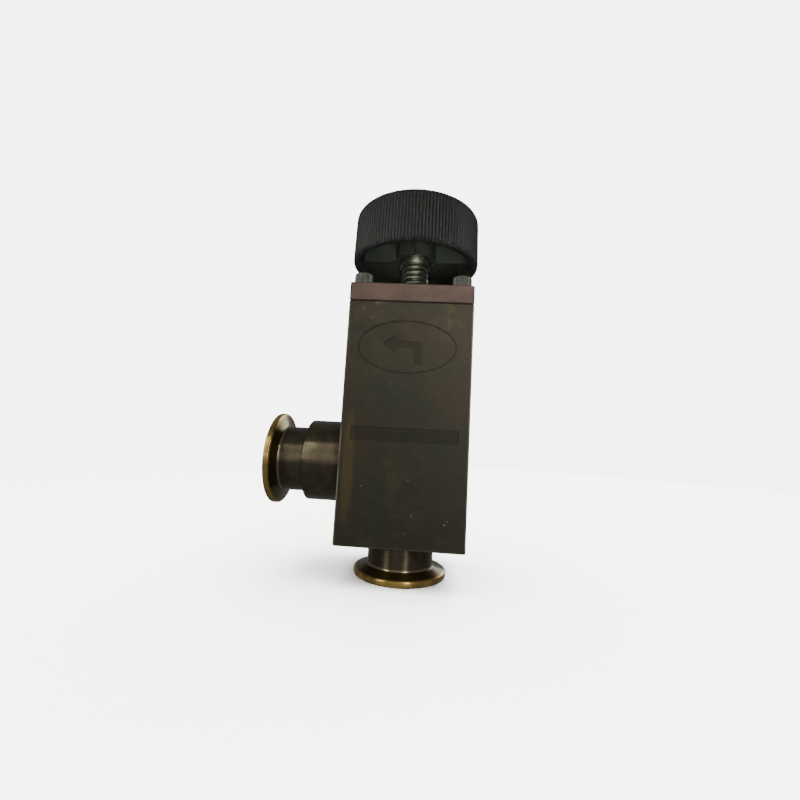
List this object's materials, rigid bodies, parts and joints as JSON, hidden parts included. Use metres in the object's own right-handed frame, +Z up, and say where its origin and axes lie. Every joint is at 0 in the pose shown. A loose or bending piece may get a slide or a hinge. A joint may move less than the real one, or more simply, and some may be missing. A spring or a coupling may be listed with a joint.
{
  "type": "hand-operated vacuum angle valve",
  "caption": "Right-angle vacuum block valve with two small clamp flanges, a bellows-sealed rising stem and a fluted round knob.",
  "frame": {"origin": "centre of the lower flange's sealing face, on the stem axis", "axes": "+Z up along the stem towards the knob, side port towards -X, recessed band on the front face towards -Y"},
  "size_m": [0.0872, 0.0584, 0.1612],
  "materials": {
    "patinated_brass": "dark aged patina, satin",
    "aged_brass_port": "turned, dark patina with bright brass rims",
    "bronze_plate": "aged bronze, matt",
    "blackened_steel": "black oxide",
    "stem_steel": "turned and greased",
    "bearing_bronze": "turned",
    "insert_brass": "turned",
    "stainless_steel": "satin",
    "black_plastic": "moulded, satin",
    "seal_rubber": "moulded"
  },
  "bodies": {
    "valve_body": {"valve_block": "patinated_brass", "lower_port": "aged_brass_port", "side_port": "aged_brass_port", "bonnet_plate": "bronze_plate", "bonnet_seal": "seal_rubber", "thread_bush": "bearing_bronze", "weld_ring": "stainless_steel", "bellows": "stainless_steel", "bonnet_screw_1": "blackened_steel", "bonnet_screw_2": "blackened_steel", "bonnet_screw_3": "blackened_steel", "bonnet_screw_4": "blackened_steel"},
    "plug_unit": {"plug_carrier": "stainless_steel", "plug": "stainless_steel", "plug_seal": "seal_rubber", "seal_retainer": "stainless_steel", "retainer_screw": "stainless_steel", "thrust_ball": "stainless_steel", "gland_nut": "bearing_bronze"},
    "knob_unit": {"stem": "stem_steel", "snap_ring": "stem_steel", "knob": "black_plastic", "knob_insert": "insert_brass", "knob_washer": "stem_steel", "knob_screw": "stem_steel", "knob_cap": "black_plastic"}
  },
  "joints": [
    {"name": "plug_slide", "type": "slide", "parent": "valve_body", "child": "plug_unit", "axis": [0, 0, 1], "range_m": [-0.01016, 0], "deforming": ["bellows"]},
    {"name": "knob_turn", "type": "hinge", "parent": "plug_unit", "child": "knob_unit", "pos_m": [0, 0, 0.1381], "axis": [0, 0, 1], "range_deg": [-1440, 0]}
  ],
  "couplings": [
    {"joint": "knob_turn", "follows": "plug_slide", "rad_per_m": 2473.7}
  ]
}
